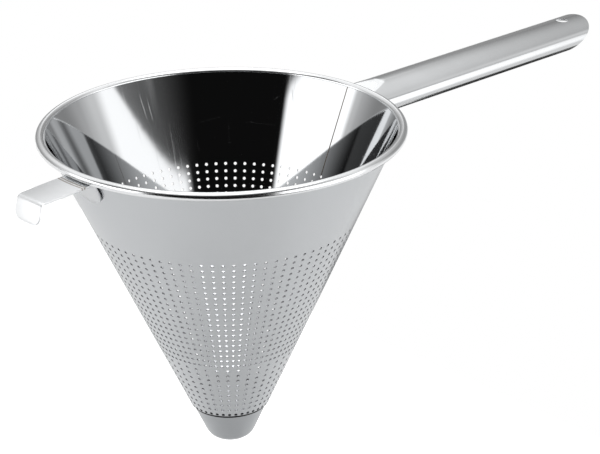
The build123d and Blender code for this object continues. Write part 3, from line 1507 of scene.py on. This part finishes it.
@dataclass(frozen=True)
class Surround:
    """The greys of the surround, which the metal mirrors.

    Attributes:
        back: The side behind the object, by height.
        back_sides: The same, from its flanks to its middle.
        shoulders: What is added to that at its flanks, higher up.
        flanks: The brighter foot of the flanks.
        strip: The bright strip straight behind.
        left_far: The left grey, towards the back.
        left_near: The left grey and the left of the light from below, towards the camera.
        right_near: The right grey, towards the camera.
        right_far: The right grey, towards the back.
        zenith: The light from overhead.
        fade: How much darker the patch is that the handle's side mirrors.
        lamp: The lamp above and behind.
        gap: How much darker the patch is that the handle's underside mirrors.
        low_right: The right of the light from below.
        low_level: How bright the light from below is.
        horizon: Where the lower half gives way to the upper.
        backdrop: Where the metal mirrors the white backdrop.
        dark_side: The level of the dark camera side.
        boxes: The softboxes.
    """

    back: Patch = Patch(rise=(5.0, 42.0, 0.33, 0.95))
    back_sides: Patch = Patch(off=(85.0, 140.0, 0.86, 1.0))
    shoulders: Patch = Patch(off=(90.0, 106.0, 4.0), rise=(31.0, 38.0, 0.2, 0.0))
    flanks: Patch = Patch(off=(98.0, 128.0, 0.4, 0.0), rise=(14.0, 26.0, 1.0, 0.0))
    strip: Patch = Patch(0.6, off=(170.0, 177.0), rise=(25.0, 35.0, 4.0))
    left_far: Patch = Patch(turn=(-104.0, -88.0, 1.0, 0.12))
    left_near: Patch = Patch(turn=(-54.0, -46.0, 1.0, 0.0))
    right_near: Patch = Patch(turn=(20.0, 85.0, 0.0, 0.4))
    right_far: Patch = Patch(turn=(78.0, 92.0, 0.0, 0.6))
    zenith: Patch = Patch(rise=(33.0, 75.0, 0.0, 1.5))
    fade: Patch = Patch(off=(98.0, 114.0), rise=(9.0, 14.0), x=(0.675, 0.75, 0.02, -0.4))
    lamp: Patch = Patch(2.5, z=(0.87, 0.92), ahead=(-0.08, 0.02, 1.0, 0.0), aside=(0.4, 0.47, 1.0, 0.0))
    gap: Patch = Patch(0.97, x=(0.655, 0.746, 0.008), turn=(122.0, 130.0), rise=(-28.0, -23.0, 1.0, 0.0))
    low_right: Patch = Patch(turn=(30.0, 80.0))
    low_level: float = 0.88
    horizon: Patch = Patch(rise=(-14.0, -5.0))
    backdrop: Patch = Patch(off=(166.0, 173.0), rise=(-24.0, -8.0, 3.0))
    dark_side: float = 0.006
    boxes: tuple[Softbox, ...] = (
        Softbox(52.0, 80.0, 30.0, 36.0, 0.0, 0.8, 5.0, 3.0),
        Softbox(-99.5, -52.0, -20.0, 20.4, 0.095, 1.8, 5.0, 0.6),
        Softbox(38.0, 86.0, -30.0, 24.3, -0.105, 1.6, 10.0, 0.5),
    )

    def level(self, way: Sight) -> Value:
        """How bright the surround is in a direction.

        Args:
            way: The direction.

        Returns:
            Its level.
        """
        behind = self.back.seen(way) * (self.back_sides.seen(way) + self.shoulders.seen(way))
        behind = behind + self.flanks.seen(way) + self.strip.seen(way)
        left = self.left_far.seen(way) * self.left_near.seen(way)
        right = self.right_near.seen(way) + self.right_far.seen(way)
        grey = ((left + right) * behind * (self.fade.seen(way) + 1.0)).math("MAXIMUM", self.zenith.seen(way))
        lower = (self.left_near.seen(way) + self.low_right.seen(way)) * (1 - self.gap.seen(way)) * self.low_level
        above = self.horizon.seen(way)
        level = (grey + self.lamp.seen(way)) * above + lower * (1 - above) + self.dark_side
        for box in self.boxes:
            mask = box.mask(way.turn, way.rise)
            level = level * (1 - mask) + mask * box.level
        return level


@dataclass
class Studio:
    """The floor, the white surround and the lights."""

    surround: Surround = Surround()
    camera_side: float = 229.5
    floor_height: float = -470.0
    floor_ends: Pair = (-2500.0, 560.0)
    floor_sides: Pair = (-420.0, 4000.0)
    # painted shade: the floor's colour is darker under the object and paler further out, across this span in
    # metres
    floor_shade_span: Pair = (0.05, 0.35)
    floor_shade_level: float = 0.525
    floor_unshaded_level: float = 0.705
    floor_glow: float = 0.6
    floor_gloss: float = 0.25
    white: Colour = (1.0, 1.0, 1.0)

    def rays(self, graph: Graph) -> tuple[Value, Value, Value]:
        """1 on the camera's own rays, on those through the object and on mirrored ones, each on its own."""
        path = graph.node("ShaderNodeLightPath")
        names = ("Is Camera Ray", "Is Transmission Ray", "Is Glossy Ray")
        camera, through, glossy = (Value(graph, path.outputs[name]) for name in names)
        return camera, through, glossy

    def world(self) -> None:
        """Fills the world with the studio: white to the camera, softboxes and a dark camera side to metal."""
        world = bpy.data.worlds.new("studio")
        bpy.context.scene.world = world
        world.use_nodes = True
        graph = Graph(world.node_tree)
        way = Sight(graph, self.camera_side)
        camera, through, glossy = self.rays(graph)
        seen = camera + through + glossy * self.surround.backdrop.seen(way)
        strength = self.surround.level(way) * (1 - seen) + seen
        shader = graph.add("ShaderNodeBackground", None, {"Color": (*self.white, 1), "Strength": strength})
        graph.node("ShaderNodeOutputWorld", None, {"Surface": shader})

    def floor(self) -> bpy.types.Object:
        """Makes the pale floor, which keeps the object's shadow, with painted shade too: its colour is darker near
        the object.

        Returns:
            The floor.
        """
        material = bpy.data.materials.new("pale_floor")
        material.use_nodes = True
        graph = Graph(material.node_tree)
        camera, through, glossy = self.rays(graph)
        seen = camera + through + glossy * self.floor_gloss
        x, y, _ = graph.parts(graph.here())
        # painted shade: darker floor colour near the object, which the metal's underside mirrors
        far = (x * x + y * y).math("SQRT").ramp(*self.floor_shade_span, self.floor_shade_level, self.floor_unshaded_level)
        pale = graph.mix(far, (0.0, 0.0, 0.0, 1.0), (*self.white, 1.0))
        matt = graph.add("ShaderNodeBsdfDiffuse", None, {"Color": pale})
        strength = seen * self.floor_glow
        glow = graph.add("ShaderNodeEmission", None, {"Color": (*self.white, 1), "Strength": strength})
        both = graph.add("ShaderNodeAddShader", None, {0: matt, 1: glow})
        graph.node("ShaderNodeOutputMaterial", None, {"Surface": both})
        (x0, x1), (y0, y1), z = self.floor_ends, self.floor_sides, self.floor_height
        points = [(x0, y0, z), (x1, y0, z), (x1, y1, z), (x0, y1, z)]
        mesh = bpy.data.meshes.new("floor")
        mesh.from_pydata([tuple(Vector(p) * MM) for p in points], [], [(0, 1, 2, 3)])
        made = add_object("floor", mesh, material)
        return made

    def build(self) -> None:
        """Makes the surround and the floor, and sets the view transform."""
        self.world()
        self.floor()
        bpy.context.scene.view_settings.view_transform = "Standard"


def main() -> None:
    """Builds the pieces in order, then the studio and the camera."""
    logging.basicConfig(level=logging.INFO, format="%(message)s")
    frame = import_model()
    LOG.info("the frame has %d nodes", len(frame["nodes"]))
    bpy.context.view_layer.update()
    ring = RimRing()
    cone = PunchedCone(ring)
    seat_radius, seat_height = cone.seat()
    bright = (0.68, 0.69, 0.70)
    satin = (0.60, 0.615, 0.63)
    cone_steel = ConeSteel(
        "cone_steel", satin, 0.26, 0.015, Grain.AROUND, 0.0001, 2.2, 0.015,
        seat_radius=seat_radius, seat_height=seat_height, half_angle=cone.half_angle,
    )
    tube = Handle(cone)
    tube_steel = TubeSteel(
        "handle_steel", bright, 0.13, 0.05, Grain.ALONG, 0.0008, middle=-tube.axis_drop,
        half_axes=((tube.width - tube.wall) / 2, (tube.height - tube.wall) / 2),
        hole=(tube.tip - tube.hole_inset, tube.hole_diameter / 2),
    )
    edge_height = seat_height - cone.wall_length * math.cos(cone.slope)
    # the cap's material carries a painted shadow just below the cone's edge
    cap_steel = CapSteel(
        "cap_steel", (0.475, 0.49, 0.505), 0.3, 0.05, Grain.AROUND, 0.0008, joint_shade_top=edge_height - 0.1,
    )
    jobs: list[tuple[Callable, Steel]] = [
        (cone.build, cone_steel),
        (ring.build, Steel("ring_steel", (0.9, 0.91, 0.92), 0.17, 0.03, Grain.AROUND, 0.0003)),
        (TipCap(cone).build, cap_steel),
        (RestHook(cone).build, HookSteel("hook_steel", (0.72, 0.73, 0.74), 0.42, 0.06, Grain.ACROSS, 0.001)),
        (tube.build, tube_steel),
    ]
    for build, finish in jobs:
        piece = build(finish.make())
        LOG.info("%s: %d faces", piece.name, len(piece.data.polygons))
    Studio().build()
    Eye().build()


if __name__ == "__main__":
    main()
